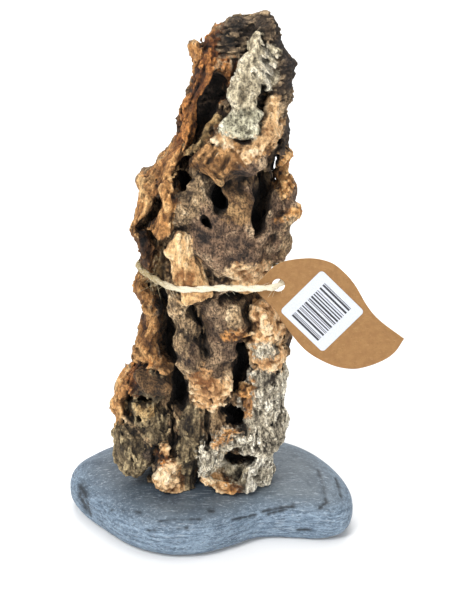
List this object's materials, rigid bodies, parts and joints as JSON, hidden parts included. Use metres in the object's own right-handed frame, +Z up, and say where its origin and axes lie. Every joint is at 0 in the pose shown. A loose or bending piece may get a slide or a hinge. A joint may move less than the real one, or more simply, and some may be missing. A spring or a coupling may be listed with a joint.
{
  "type": "cork bark slab on a slate base",
  "caption": "Upright gnarled slab of cork bark standing on a flat slate pebble, with jute twine tied round its waist and a leaf-shaped card tag; an ornament for a terrarium or shelf.",
  "frame": {"origin": "middle of the flat spot under the slate pebble, on the surface it stands on", "axes": "+Z up, +X to the viewer's right and +Y to the back as pictured"},
  "size_m": [0.1789, 0.1026, 0.2873],
  "materials": {
    "cork_bark": "rough broken cork and weathered bark, matt",
    "slate": "water-worn slate, satin with fine scratches",
    "jute": "hairy two-ply twine, matt",
    "kraft_card": "uncoated brown card with fibres",
    "label_paper": "smooth white sticker",
    "screw_steel": "plain stainless"
  },
  "bodies": {
    "root": {"bark": "cork_bark", "stone": "slate", "twine": "jute", "tag": "kraft_card", "label": "label_paper", "screw_left": "screw_steel", "screw_right": "screw_steel"}
  },
  "joints": []
}
